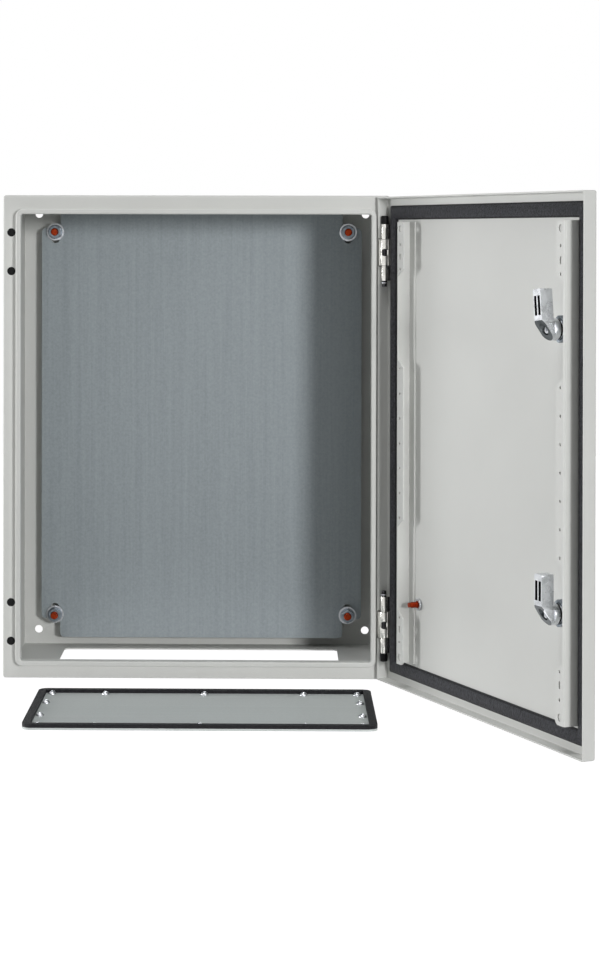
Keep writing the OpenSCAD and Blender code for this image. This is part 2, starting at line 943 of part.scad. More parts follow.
// A rail standing along Z, its web at x = 0 and its foot on y = 0
module door_rail() {
    cut_h = sheet + over + eps;
    difference() {
        translate([0, 0, -rail_len / 2])
            linear_extrude(rail_len)
                rail_profile();
        for (side = [-1, 1])
            translate([0, rail_h + over, side * lock_z])
                rotate([90, 0, 0])
                    linear_extrude(cut_h)
                        cutout_outline();
        translate([0, rail_h + over, 0])
            rotate([90, 0, 0])
                linear_extrude(cut_h)
                    rail_hole_row();
        for (side = [-1, 1])
            translate([rail_flange, rail_h + over, side * rail_len / 2])
                rotate([90, 0, 0])
                    linear_extrude(cut_h)
                        mirror([0, side > 0 ? 0 : 1])
                            corner_cut(rail_end_r);
    }
}

module rail_hinge_side() {
    color(paint)
        door_opened()
            translate([door_w / 2 - hinge_rail_inset, door_inner_y, 0])
                mirror([1, 0, 0])
                    door_rail();
}

// The lock rail's foot is cut round the lock washers
module rail_lock_side() {
    color(paint)
        door_opened()
            difference() {
                translate([-door_w / 2 + lock_rail_inset, door_inner_y, 0])
                    door_rail();
                for (side = [-1, 1])
                    on_lock_axis(side * lock_z)
                        translate([0, 0, -over])
                            cylinder(h = sheet + 2 * over, r = lock_washer_r + slack);
            }
}

module at_earth() {
    door_opened()
        translate([door_w / 2 - earth_inset, door_inner_y, -earth_drop])
            rotate([-90, 0, 0])
                children();
}

// Welded stud: its shoulder carries the washer, its free shank takes a ring lug
module earth_stud() {
    color(copper)
        at_earth()
            union() {
                cylinder(h = earth_shoulder_h, r = earth_shoulder_r);
                cylinder(h = earth_len - earth_bevel, d = earth_d);
                translate([0, 0, earth_len - earth_bevel])
                    cylinder(h = earth_bevel, d1 = earth_d, d2 = earth_d - 2 * earth_bevel);
            }
}

module earth_washer() {
    color(bright_steel)
        at_earth()
            difference() {
                cylinder(h = earth_washer_t, r = earth_d / 2 + earth_washer_lap);
                translate([0, 0, -over])
                    cylinder(h = earth_shoulder_h + 2 * over, r = earth_shoulder_r + fit);
            }
}

// ---------------------------------------------------------------- locks

// Neck through the door with a round collar outside and a threaded tube inside
module lock_housings() {
    face = -sheet - collar_seal_h;
    color(bright_steel)
        door_opened()
            for (side = [-1, 1])
                on_lock_axis(side * lock_z)
                    difference() {
                        union() {
                            translate([0, 0, face])
                                cylinder(h = -face, r = barrel_r);
                            translate([0, 0, -eps])
                                cylinder(h = tube_n1 + eps, r = tube_r);
                            translate([0, 0, face - collar_h + collar_bevel])
                                cylinder(h = collar_h - collar_bevel, d = collar_d);
                            translate([0, 0, face - collar_h])
                                cylinder(
                                    h = collar_bevel, d1 = collar_d - 2 * collar_bevel, d2 = collar_d
                                );
                        }
                        translate([0, 0, face - collar_h - over])
                            cylinder(h = collar_h - face + tube_n1 + 2 * over, r = plug_r + fit);
                        translate([0, 0, face - collar_h - over])
                            cylinder(h = well_depth + over, r = well_r);
                    }
}

module lock_collar_seals() {
    color(black_plastic)
        door_opened()
            for (side = [-1, 1])
                on_lock_axis(side * lock_z)
                    translate([0, 0, -sheet - collar_seal_h])
                        difference() {
                            cylinder(h = collar_seal_h, d = collar_d - 2 * collar_seal_inset);
                            translate([0, 0, -over])
                                cylinder(h = collar_seal_h + 2 * over, r = barrel_r + fit);
                        }
}

// Square washers with clipped corners, under the lock nuts
module lock_washers() {
    color(bright_steel)
        door_opened()
            for (side = [-1, 1])
                on_lock_axis(side * lock_z)
                    difference() {
                        intersection() {
                            translate([-lock_washer_w / 2, -lock_washer_w / 2, 0])
                                cube([lock_washer_w, lock_washer_w, washer_n1]);
                            cylinder(h = washer_n1, r = lock_washer_r);
                        }
                        translate([0, 0, -over])
                            cylinder(h = washer_n1 + 2 * over, r = tube_r + fit);
                    }
}

module lock_nuts() {
    color(bright_steel)
        door_opened()
            for (side = [-1, 1])
                on_lock_axis(side * lock_z)
                    translate([0, 0, nut_n0])
                        difference() {
                            intersection() {
                                hexagon(lock_nut_flats, lock_nut_h);
                                cylinder(h = lock_nut_h, r = lock_nut_flats / sqrt(3) - nut_corner_cut);
                            }
                            translate([0, 0, -over])
                                cylinder(h = lock_nut_h + 2 * over, r = tube_r + fit);
                        }
}

// Turns a cam's pieces from tongue up by its rest lean
module cam_placed(z, lean) {
    door_opened()
        on_lock_axis(z)
            rotate([0, 0, lean])
                children();
}

// Die-cast cam. In this frame z runs along the lock axis and -y is up
module cam_body() {
    difference() {
        union() {
            translate([0, 0, cam_n0])
                linear_extrude(cam_t)
                    cam_outline();
            translate([0, 0, hub_n0])
                cylinder(h = cam_n0 - hub_n0 + eps, r = cam_foot_r);
        }
        cam_slope();
        translate([0, 0, cam_n0 + cam_well_floor])
            cylinder(h = cam_t + over, r = cam_well_r);
        for (x = [-1, 1])
            translate([
                x * (cam_slot_rib + cam_slot_w) / 2 - cam_slot_w / 2, -cam_slot_r1,
                cam_n1 - cam_slot_depth
            ])
                cube([cam_slot_w, cam_slot_r1 - cam_slot_r0, cam_slot_depth + over]);
        translate([-tang / 2 - fit, -tang / 2 - fit, hub_n0 - over])
            cube([tang + 2 * fit, tang + 2 * fit, tang_n1 - hub_n0 + over + fit]);
        translate([0, 0, tang_n1 - over])
            cylinder(h = cam_t + over, r = cam_screw_r + fit);
    }
}

// Tongue from its tip down to the round foot
module cam_outline() {
    flat_x = cam_foot_r - cam_flat;
    translate([-cam_w / 2, -cam_reach + cam_tip_r])
        square([cam_w, cam_reach - cam_tip_r]);
    translate([-cam_w / 2 + cam_tip_r, -cam_reach])
        square([cam_w - 2 * cam_tip_r, cam_tip_r]);
    for (x = [-1, 1])
        translate([x * (cam_w / 2 - cam_tip_r), -cam_reach + cam_tip_r])
            circle(r = cam_tip_r);
    intersection() {
        circle(r = cam_foot_r);
        translate([-flat_x, -flat_x])
            square([2 * flat_x, 2 * cam_foot_r]);
    }
}

// Sloping cut that takes the foot of the cam down towards the door
module cam_slope() {
    reach = cam_foot_r + over;
    translate([-reach, 0, 0])
        rotate([90, 0, 90])
            linear_extrude(2 * reach)
                polygon([
                    [-cam_slope_start, cam_n1 + over],
                    [-cam_slope_start, cam_n1],
                    [reach, cam_n0],
                    [reach + over, cam_n0],
                    [reach + over, cam_n1 + over]
                ]);
}

module cam_upper() {
    color(bright_steel)
        cam_placed(lock_z, upper_lean)
            cam_body();
}

module cam_lower() {
    color(bright_steel)
        cam_placed(-lock_z, 0)
            cam_body();
}

// Turning plug with a recessed double-bit key end outside and a square tang inside
module lock_plug() {
    outer = -sheet - collar_seal_h - collar_h + plug_recess;
    difference() {
        union() {
            translate([0, 0, outer])
                cylinder(h = tube_n1 - outer, r = plug_r);
            translate([-tang / 2, -tang / 2, tube_n1 - eps])
                cube([tang, tang, tang_n1 - tube_n1 + eps]);
        }
        translate([0, 0, outer - over])
            difference() {
                union() {
                    cylinder(h = key_depth + over, r = key_r);
                    translate([-key_bit_reach, -key_bit_w / 2, 0])
                        cube([2 * key_bit_reach, key_bit_w, key_depth + over]);
                }
                cylinder(h = key_depth + over + eps, r = key_pin_r);
            }
        translate([0, 0, tang_n1 - tang_hole_depth])
            cylinder(h = tang_hole_depth + over, r = cam_screw_r);
    }
}

module lock_plug_upper() {
    color(bright_steel)
        cam_placed(lock_z, upper_lean)
            lock_plug();
}

module lock_plug_lower() {
    color(bright_steel)
        cam_placed(-lock_z, 0)
            lock_plug();
}

// Black ring between the lock tube and the cam
module cam_ring() {
    translate([0, 0, tube_n1])
        difference() {
            cylinder(h = ring_h, d = cam_hub_d - 2 * ring_inset);
            translate([-tang / 2 - fit, -tang / 2 - fit, -over])
                cube([tang + 2 * fit, tang + 2 * fit, ring_h + 2 * over]);
        }
}

module cam_ring_upper() {
    color(black_plastic)
        cam_placed(lock_z, upper_lean)
            cam_ring();
}

module cam_ring_lower() {
    color(black_plastic)
        cam_placed(-lock_z, 0)
            cam_ring();
}

module cam_screw() {
    translate([0, 0, cam_n0 + cam_well_floor])
        difference() {
            union() {
                cylinder(h = cam_screw_head_h, r = cam_screw_head_r);
                translate([0, 0, -cam_screw_len])
                    cylinder(h = cam_screw_len + eps, r = cam_screw_r - fit);
            }
            translate([0, 0, cam_screw_head_h - cam_screw_key_depth])
                hexagon(cam_screw_key, cam_screw_key_depth + over);
        }
}

module cam_screw_upper() {
    color(bright_steel)
        cam_placed(lock_z, upper_lean)
            cam_screw();
}

module cam_screw_lower() {
    color(bright_steel)
        cam_placed(-lock_z, 0)
            cam_screw();
}

// ---------------------------------------------------------------- gland plate, taken off

module gland_parked() {
    translate([gland_x, gland_y, gland_top])
        children();
}

module gland_plate() {
    color(galvanised)
        gland_parked()
            translate([0, 0, -gland_t])
                linear_extrude(gland_t)
                    rounded_rect(gland_w, gland_d, gland_r);
}

module gland_seal() {
    inner_r = gland_r - gland_seal_w;
    color(foam)
        gland_parked()
            linear_extrude(gland_seal_h)
                difference() {
                    rounded_rect(gland_w, gland_d, gland_r);
                    rounded_rect(gland_w - 2 * gland_seal_w, gland_d - 2 * gland_seal_w, inner_r);
                }
}

module clinch_nut() {
    dome_r = (pow(clinch_r, 2) + pow(clinch_h, 2)) / (2 * clinch_h);
    difference() {
        intersection() {
            translate([0, 0, clinch_h - dome_r])
                sphere(r = dome_r);
            cylinder(h = clinch_h, r = clinch_r);
        }
        translate([0, 0, clinch_floor])
            cylinder(h = clinch_h, r = clinch_hole_r);
    }
}

module gland_clinch_nuts() {
    long_y = gland_d / 2 - clinch_inset;
    color(bright_steel)
        gland_parked() {
            for (i = [-1, -clinch_spread, 0, clinch_spread, 1], y = [-1, 1])
                translate([i * clinch_long_x, y * long_y, 0])
                    clinch_nut();
            for (x = [-1, 1], y = [-1, 1])
                translate([x * clinch_end_x, y * clinch_end_y, 0])
                    clinch_nut();
        }
}

body_shell();
back_panel();
mounting_plate();
plate_studs();
plate_spacers();
plate_washers();
plate_nuts();
flange_plugs();
hinge_bracket_upper();
hinge_bracket_lower();
hinge_screws();
door_panel();
door_seal();
rail_hinge_side();
rail_lock_side();
door_barrels_upper();
door_barrels_lower();
hinge_pin_upper();
hinge_pin_lower();
pin_caps();
pin_clips();
earth_stud();
earth_washer();
lock_housings();
lock_collar_seals();
lock_washers();
lock_nuts();
cam_upper();
cam_lower();
lock_plug_upper();
lock_plug_lower();
cam_ring_upper();
cam_ring_lower();
cam_screw_upper();
cam_screw_lower();
gland_plate();
gland_seal();
gland_clinch_nuts();
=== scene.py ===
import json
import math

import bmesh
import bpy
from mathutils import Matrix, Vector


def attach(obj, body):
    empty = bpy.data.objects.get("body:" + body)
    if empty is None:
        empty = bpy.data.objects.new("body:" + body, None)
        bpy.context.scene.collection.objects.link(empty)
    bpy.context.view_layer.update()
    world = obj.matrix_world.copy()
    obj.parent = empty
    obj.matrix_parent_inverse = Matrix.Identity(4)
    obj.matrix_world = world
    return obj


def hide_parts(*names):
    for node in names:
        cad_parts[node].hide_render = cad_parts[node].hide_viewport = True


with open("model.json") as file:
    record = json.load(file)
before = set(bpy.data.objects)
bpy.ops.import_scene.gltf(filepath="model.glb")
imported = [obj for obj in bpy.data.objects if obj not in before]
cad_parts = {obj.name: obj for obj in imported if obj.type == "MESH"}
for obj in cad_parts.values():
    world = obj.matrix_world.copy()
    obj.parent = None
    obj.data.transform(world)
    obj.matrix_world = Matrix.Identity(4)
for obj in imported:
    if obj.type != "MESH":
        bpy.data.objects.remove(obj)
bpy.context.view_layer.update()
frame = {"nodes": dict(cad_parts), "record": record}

# %% [markdown]
# # A steel wall enclosure with its door open
# The CAD frame above already holds every rigid piece at its real size: the folded body with its
# rain lip, the mounting plate, the door with its rails, seal, hinges and cam locks, and the loose
# gland plate. This lesson dresses that frame. It gives each piece its finish, breaks the sharp
# edges of the hardware so that they catch the light, cuts threads, and sets up camera and light.

nodes = frame["nodes"]

MM = 0.001


# %% [markdown]
# ## Colours
# Paint charts and colour pickers give colours as 0-255 display values. The shader wants linear
# light, so one small helper converts each channel. The display curve has a straight foot near
# black and follows a power above it.

# %% Display colour to linear light
FOOT_END = 0.04045
FOOT_SLOPE = 12.92
CURVE_SHIFT = 0.055
CURVE_POWER = 2.4


def shade(red, green, blue):
    """A display colour, 0 to 255, as the shader's linear colour."""
    channels = []
    for value in (red, green, blue):
        c = value / 255
        if c <= FOOT_END:
            channels.append(c / FOOT_SLOPE)
        else:
            channels.append(((c + CURVE_SHIFT) / (1 + CURVE_SHIFT)) ** CURVE_POWER)
    return (*channels, 1.0)


print("mid grey in linear light:", round(shade(128, 128, 128)[0], 3))


# %% [markdown]
# ## Material building blocks
# Every finish here is a Principled shader with a pattern behind it. The patterns read Object
# coordinates, which are metres in the frame, so a noise scale of 1000 gives grains of about 1 mm.

# %% Materials and patterns
def new_finish(name):
    """A fresh material and its shader."""
    material = bpy.data.materials.new(name)
    material.use_nodes = True
    return material, material.node_tree.nodes["Principled BSDF"]


def object_pattern(material, stretch=(1, 1, 1)):
    """Object coordinates, stretched."""
    tree = material.node_tree
    coords = tree.nodes.new("ShaderNodeTexCoord")
    mapping = tree.nodes.new("ShaderNodeMapping")
    mapping.inputs["Scale"].default_value = stretch
    tree.links.new(coords.outputs["Object"], mapping.inputs["Vector"])
    return mapping.outputs["Vector"]


def grain(material, vector, scale, detail=3.0, roughness=0.5):
    """A noise texture on the given coordinates; returns its 0 to 1 output."""
    tree = material.node_tree
    noise = tree.nodes.new("ShaderNodeTexNoise")
    noise.inputs["Scale"].default_value = scale
    noise.inputs["Detail"].default_value = detail
    noise.inputs["Roughness"].default_value = roughness
    tree.links.new(vector, noise.inputs["Vector"])
    return noise.outputs["Fac"]


# %% [markdown]
# ## From a pattern to colour, gloss and relief
# A noise stays close to its middle value, so the colour ramp runs over that middle part only.
# The same pattern drives the roughness and a bump, because on real metal and paint a spot that
# looks different usually feels different too.

# %% Colour, number and bump
def between(material, factor, low, high, start=0.3, end=0.7):
    """A colour that runs from low to high as the factor goes from start to end."""
    tree = material.node_tree
    ramp = tree.nodes.new("ShaderNodeValToRGB")
    ramp.color_ramp.elements[0].position = start
    ramp.color_ramp.elements[0].color = low
    ramp.color_ramp.elements[1].position = end
    ramp.color_ramp.elements[1].color = high
    tree.links.new(factor, ramp.inputs["Fac"])
    return ramp.outputs["Color"]


def spread(material, factor, low, high):
    """A number that runs from low to high with the factor."""
    tree = material.node_tree
    span = tree.nodes.new("ShaderNodeMapRange")
    span.inputs["To Min"].default_value = low
    span.inputs["To Max"].default_value = high
    tree.links.new(factor, span.inputs["Value"])
    return span.outputs["Result"]


def raise_surface(material, shader, height, depth, strength=1.0):
    """Bumps the shader's normal with a height pattern; depth is in metres."""
    tree = material.node_tree
    bump = tree.nodes.new("ShaderNodeBump")
    bump.inputs["Strength"].default_value = strength
    bump.inputs["Distance"].default_value = depth
    tree.links.new(height, bump.inputs["Height"])
    tree.links.new(bump.outputs["Normal"], shader.inputs["Normal"])


# %% [markdown]
# ## Powder coat
# The sheet metal is powder coated in a pale, slightly warm grey. Baked powder never lies quite
# flat: it has a fine ripple, and its gloss is broken by it. A fine bump gives that, and a slow
# noise moves the colour by a shade or two, as light on real paint does.

# %% Pale grey powder coat
def powder_coat(name, low, high):
    """Baked powder paint whose colour wanders slowly from low to high."""
    material, shader = new_finish(name)
    link = material.node_tree.links.new
    vector = object_pattern(material)
    clouds = grain(material, vector, scale=9)
    link(between(material, clouds, low, high), shader.inputs["Base Color"])
    ripple = grain(material, vector, scale=700, detail=2.0)
    link(spread(material, ripple, 0.38, 0.5), shader.inputs["Roughness"])
    shader.inputs["IOR"].default_value = 1.45
    raise_surface(material, shader, ripple, depth=0.4 * MM, strength=0.12)
    return material


PAINT = powder_coat("pale_grey_powder_coat", shade(205, 206, 203), shade(209, 210, 207))
print("finish:", PAINT.name)

# %% [markdown]
# ## Galvanised sheet
# The mounting plate and the gland plate are left in bare galvanised steel. The rolls of the mill
# leave long faint streaks, and the zinc skin is mottled between them. Two noises do it: one
# stretched hard along the rolling direction, one even. Aged zinc is dull, so it counts as metal
# only in small part.

# %% Galvanised sheet, streaked along its rolling direction
ALONG_Z = (1, 1, 0.02)
ALONG_X = (0.02, 1, 1)
MOTTLE_SHARE = 0.45


def galvanised(name, stretch, low, high):
    """Zinc-coated sheet, with a stretch that draws its streaks out along the rolling."""
    material, shader = new_finish(name)
    link = material.node_tree.links.new
    streaks = grain(material, object_pattern(material, stretch), 150, 8.0, 0.8)
    mottle = grain(material, object_pattern(material), 420, 4.0, 0.6)
    mix = material.node_tree.nodes.new("ShaderNodeMix")
    mix.inputs["Factor"].default_value = MOTTLE_SHARE
    link(streaks, mix.inputs["A"])
    link(mottle, mix.inputs["B"])
    blend = mix.outputs["Result"]
    link(between(material, blend, low, high), shader.inputs["Base Color"])
    link(spread(material, blend, 0.36, 0.56), shader.inputs["Roughness"])
    shader.inputs["Metallic"].default_value = 0.2
    raise_surface(material, shader, mottle, depth=0.2 * MM, strength=0.1)
    return material


PLATE_ZINC = galvanised(
    "galvanised_plate", ALONG_Z, shade(123, 131, 135), shade(149, 157, 161))
# The gland plate is paler than the mounting plate; part of that paleness is painted light
# standing in for the lamp overhead.
GLAND_ZINC_AND_TOP_LIGHT = galvanised(
    "galvanised_gland_plate_and_painted_light", ALONG_X, shade(186, 192, 191), shade(204, 209, 208))
print("finish:", PLATE_ZINC.name, GLAND_ZINC_AND_TOP_LIGHT.name)


# %% [markdown]
# ## Plated hardware
# Nuts, washers and screws are bright zinc, the hinge barrels are smoother, and the pins are dark
# and oiled. The lock cams are polished zinc castings; the dark grey metal in the wells round
# their screws is painted shade. The studs carry a thin copper flash. All are true metals, so they
# show mostly what they reflect, and a soft noise in the roughness keeps them from looking like
# mirrors.

# %% One recipe for every metal
def plated(name, low, high, rough_low, rough_high, scale=300, relief=0.05):
    """A metal with a cloudy colour and gloss, and a slight relief unless that is 0."""
    material, shader = new_finish(name)
    link = material.node_tree.links.new
    vector = object_pattern(material)
    cloud = grain(material, vector, scale, 4.0, 0.6)
    link(between(material, cloud, low, high), shader.inputs["Base Color"])
    link(spread(material, cloud, rough_low, rough_high), shader.inputs["Roughness"])
    shader.inputs["Metallic"].default_value = 1.0
    if relief:
        raise_surface(material, shader, cloud, depth=0.1 * MM, strength=relief)
    return material


# %% The metals
CAST_SCALE = 120
ZINC = plated("bright_zinc_plating", shade(178, 180, 184), shade(206, 208, 212), 0.22, 0.38)
DARK_ZINC = plated("passivated_nuts", shade(112, 120, 128), shade(150, 157, 164), 0.25, 0.4)
PIN_STEEL = plated("oiled_pin_steel", shade(46, 46, 48), shade(64, 64, 66), 0.25, 0.35)
CASTING = plated(
    "polished_die_casting", shade(204, 207, 211), shade(226, 228, 232), 0.2, 0.36, CAST_SCALE)
# Dark grey put into the wells round the cam screws as painted shade.
WELL_SHADE = plated(
    "painted_well_shade", shade(74, 78, 80), shade(104, 108, 110), 0.35, 0.5, CAST_SCALE)
HINGE_ZINC = plated(
    "plated_hinge", shade(208, 207, 202), shade(224, 223, 218), 0.2, 0.3, CAST_SCALE, relief=0)
COPPER = plated(
    "copper_flash", shade(134, 42, 20), shade(170, 68, 35), 0.28, 0.42, scale=700)
print("finish:", ZINC.name, CASTING.name, COPPER.name)


# %% [markdown]
# ## Foam seal and black plastic
# The seals are foamed in place: a soft, dark skin with a fine open texture and a dull sheen.
# The caps and plugs are smooth black plastic. The slots of the cams are painted near black as
# painted shade, and the gasket finish also paints shade on the foot of the door seal.
# All four are the same recipe with other colours, grain sizes and gloss.

# %% Dark soft parts
ROUGH_SWING = 0.08


def dark_skin(name, low, high, rough, scale, depth, strength, gloss):
    """A dark non-metal with a bumpy skin."""
    material, shader = new_finish(name)
    shader.inputs["Specular IOR Level"].default_value = gloss
    link = material.node_tree.links.new
    cells = grain(material, object_pattern(material), scale, 5.0, 0.7)
    link(between(material, cells, low, high, end=0.75), shader.inputs["Base Color"])
    link(spread(material, cells, rough - ROUGH_SWING, rough + ROUGH_SWING),
         shader.inputs["Roughness"])
    raise_surface(material, shader, cells, depth, strength)
    return material


FOAM = dark_skin(
    "foam_seal", shade(16, 17, 19), shade(80, 81, 88),
    rough=0.45, scale=420, depth=4 * MM, strength=1.0, gloss=0.25)
# Dark gasket of the gland plate; also put on the foot of the door seal as painted shade.
GASKET_AND_FOOT_SHADE = dark_skin(
    "gland_gasket_and_foot_shade", shade(18, 18, 20), shade(44, 44, 48),
    rough=0.5, scale=600, depth=2 * MM, strength=0.8, gloss=0.15)
# Near black put into the slots of the cams as painted shade.
SLOT_SHADE = dark_skin(
    "painted_slot_shade", shade(14, 14, 15), shade(24, 24, 25),
    rough=0.7, scale=700, depth=0.2 * MM, strength=0.2, gloss=0.1)
PLASTIC = dark_skin(
    "black_plastic", shade(12, 12, 13), shade(20, 20, 21),
    rough=0.5, scale=900, depth=0.2 * MM, strength=0.1, gloss=0.12)
print("finish:", FOAM.name, GASKET_AND_FOOT_SHADE.name, SLOT_SHADE.name, PLASTIC.name)

# %% [markdown]
# ## Dress the frame
# A CAD node keeps its shape; only its finish changes. The record names a material slot for each
# node, so one table from slot to finish dresses nearly all of them. A few nodes share a slot with
# pieces that look different, such as the pale gland plate, and have a finish of their own.

# %% Give every node its finish
FINISHES = {
    "powder_coat": PAINT,
    "galvanised_sheet": PLATE_ZINC,
    "zinc_plating": ZINC,
    "die_cast_zinc": CASTING,
    "copper_plating": COPPER,
    "black_plastic": PLASTIC,
    "foam_rubber": FOAM,
}
OWN_FINISH = {
    "gland_plate": GLAND_ZINC_AND_TOP_LIGHT, "gland_seal": GASKET_AND_FOOT_SHADE,
    "plate_nuts": DARK_ZINC, "lock_nuts": DARK_ZINC,
}
for hinge in ("upper", "lower"):
    OWN_FINISH["hinge_bracket_" + hinge] = HINGE_ZINC
    OWN_FINISH["door_barrels_" + hinge] = HINGE_ZINC
    OWN_FINISH["hinge_pin_" + hinge] = PIN_STEEL
slots = {row["node"]: row["material_slot"] for row in frame["record"]["subparts"]}


def dress(obj, material):
    """Leaves the object with this one material."""
    obj.data.materials.clear()
    obj.data.materials.append(material)


for name, obj in nodes.items():
    dress(obj, OWN_FINISH.get(name, FINISHES[slots[name]]))
print("dressed:", len(nodes), "nodes")


# %% [markdown]
# ## Hand over a finished piece
# A piece made here stands in for its CAD node: the node is hidden, and the piece takes its place
# and moves with the node's body. Its round faces are shaded smooth. A broad face is flat on all
# this hardware, and is shaded flat, so that the bevels round it don't seem to bend it.

# %% Shade a piece and let it replace its node
BROAD_FACE = 20 * MM * MM


def finish_piece(piece, node, body, sharp=math.radians(40)):
    """Shades the piece, and lets it stand in for its node on its body."""
    mesh = piece.data
    mesh.shade_smooth()
    mesh.set_sharp_from_angle(angle=sharp)
    for polygon in mesh.polygons:
        if polygon.area > BROAD_FACE:
            polygon.use_smooth = False
    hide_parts(node)
    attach(piece, body)


def into_scene(name, data):
    """An object with this mesh, lamp or camera, in the scene and at the origin."""
    obj = bpy.data.objects.new(name, data)
    bpy.context.scene.collection.objects.link(obj)
    return obj


# %% [markdown]
# ## Break the edges
# Real hardware has no knife edges: castings come rounded from the die and stamped parts roll
# over at their rims. A CAD node is loose triangles, so a copy of it is merged into a closed mesh
# first, then its flat regions are joined again, and its sharp edges are bevelled.

# %% A copy of a node with softened edges
SAME_POINT = 2e-6
SAME_PLANE = math.radians(0.6)
SHARP_EDGE = math.radians(32)


def softened(node, width, body):
    """Copies a node, merges it, and bevels its sharp edges by width metres."""
    mesh = nodes[node].data.copy()
    piece = into_scene(node + "_finished", mesh)
    shell = bmesh.new()
    shell.from_mesh(mesh)
    bmesh.ops.remove_doubles(shell, verts=shell.verts, dist=SAME_POINT)
    bmesh.ops.dissolve_limit(
        shell, angle_limit=SAME_PLANE, use_dissolve_boundaries=False,
        verts=shell.verts, edges=shell.edges, delimit={"NORMAL"},
    )
    edges = [
        e for e in shell.edges
        if len(e.link_faces) == 2 and e.calc_face_angle(0) > SHARP_EDGE
    ]
    bmesh.ops.bevel(
        shell, geom=edges, offset=width, offset_type="OFFSET", affect="EDGES",
        segments=2, profile=0.5, material=-1, clamp_overlap=True,
    )
    shell.to_mesh(mesh)
    shell.free()
    finish_piece(piece, node, body)
    return piece


# %% [markdown]
# ## How much each piece is rounded
# The table gives a width in millimetres for each piece, on its body. A cast cam is the roundest;
# a stamped washer or a ground pin keeps a crisper edge.

# %% Soften the hardware
SOFTENED = {
    "enclosure": {
        "plate_nuts": 0.4, "plate_washers": 0.25, "hinge_screws": 0.2,
        "hinge_bracket_upper": 0.3, "hinge_bracket_lower": 0.3,
    },
    "door": {
        "lock_nuts": 0.3, "lock_washers": 0.2, "lock_housings": 0.3, "pin_caps": 0.3,
        "earth_washer": 0.2, "door_barrels_upper": 0.2, "door_barrels_lower": 0.2,
        "hinge_pin_upper": 0.15, "hinge_pin_lower": 0.15,
    },
    "upper_cam": {"cam_upper": 0.35, "cam_screw_upper": 0.15},
    "lower_cam": {"cam_lower": 0.35, "cam_screw_lower": 0.15},
    "gland": {"gland_clinch_nuts": 0.1},
}
for body, pieces in SOFTENED.items():
    for node, width_mm in pieces.items():
        piece = softened(node, width_mm * MM, body)
        print(node, "faces:", len(piece.data.polygons))

# %% [markdown]
# ## The door's own frame
# The door stands open, so nothing on it runs along a world axis. One matrix turns it shut about
# the hinge pins, where its sheet is square to the box and places are easy to state; its inverse
# carries a finished shape back.

# %% Shut and open
HINGE_AXIS = Vector((0.194, -0.2025, 0))
DOOR_OPEN = math.radians(114)
DOOR_SHEET_Y = -208.5 * MM
to_shut = (
    Matrix.Translation(HINGE_AXIS) @ Matrix.Rotation(-DOOR_OPEN, 4, "Z")
    @ Matrix.Translation(-HINGE_AXIS)
)
to_open = to_shut.inverted()
print("door sheet, shut:", round(DOOR_SHEET_Y, 4))

# %% [markdown]
# ## Painted shade in the recesses of the cams
# The outside of a cam keeps its polished finish. The two slots in its tongue are painted near
# black
# and the well round its screw dark grey, as painted shade. Their faces are picked by where they
# lie:
# along and across the tongue, and in height above the door sheet, measured from the lock's axis.

# %% Where the recesses are
LOCK_X = -153.4 * MM
LOCK_Z = 126 * MM
CAM_FACE = 29.5 * MM
SKIN = 0.5 * MM
SLOT_NEAR, SLOT_FAR = 12.3 * MM, 30.2 * MM
SLOT_SPREAD = 5.1 * MM
SLOT_FLOOR = 21 * MM
WELL_R = 5.3 * MM
WELL_FLOOR = 18 * MM
# Index 1 is painted shade in the slots, index 2 painted shade in the well.
SLOT_SHADE_INDEX, WELL_SHADE_INDEX = 1, 2


def recess_shade_index(along, aside, up):
    """The material index for a cam face at this spot; 0 is the polished outside, the others paint
    shade in the slots and the well.
    """
    if CAM_FACE - up <= SKIN:
        return 0
    if SLOT_NEAR < along < SLOT_FAR and aside < SLOT_SPREAD and up > SLOT_FLOOR:
        return SLOT_SHADE_INDEX
    if math.hypot(along, aside) < WELL_R and up > WELL_FLOOR:
        return WELL_SHADE_INDEX
    return 0


# %% Paint shade into the slots and the well of each cam
for node, height in (("cam_upper", LOCK_Z), ("cam_lower", -LOCK_Z)):
    mesh = bpy.data.objects[node + "_finished"].data
    mesh.materials.append(SLOT_SHADE)
    mesh.materials.append(WELL_SHADE)
    axis_foot = Vector((LOCK_X, DOOR_SHEET_Y, height))
    spots = [to_shut @ polygon.center - axis_foot for polygon in mesh.polygons]
    middle = sum(spots, Vector()) / len(spots)
    tongue = Vector((middle.x, 0, middle.z)).normalized()
    across = Vector((tongue.z, 0, -tongue.x))
    dark = 0
    for polygon, spot in zip(mesh.polygons, spots):
        index = recess_shade_index(spot.dot(tongue), abs(spot.dot(across)), spot.y)
        if index:
            polygon.material_index = index
            dark += 1
    print(node, "painted_shade faces:", dark)

# %% [markdown]
# ## The door's foam seal
# The seal is poured as a bead: it stands highest along its middle and meets itself in soft
# corners. One length is half an ellipse, carried along its run and cut at 45 degrees at both
# ends; four of them, turned to the four sides, close into the frame.

# %% One length of foam bead with mitred ends
BEAD_SIDES = 28
BEAD_STEPS = 24
TO_UPRIGHT = Matrix.Rotation(math.radians(120), 3, Vector((1, 1, 1)))


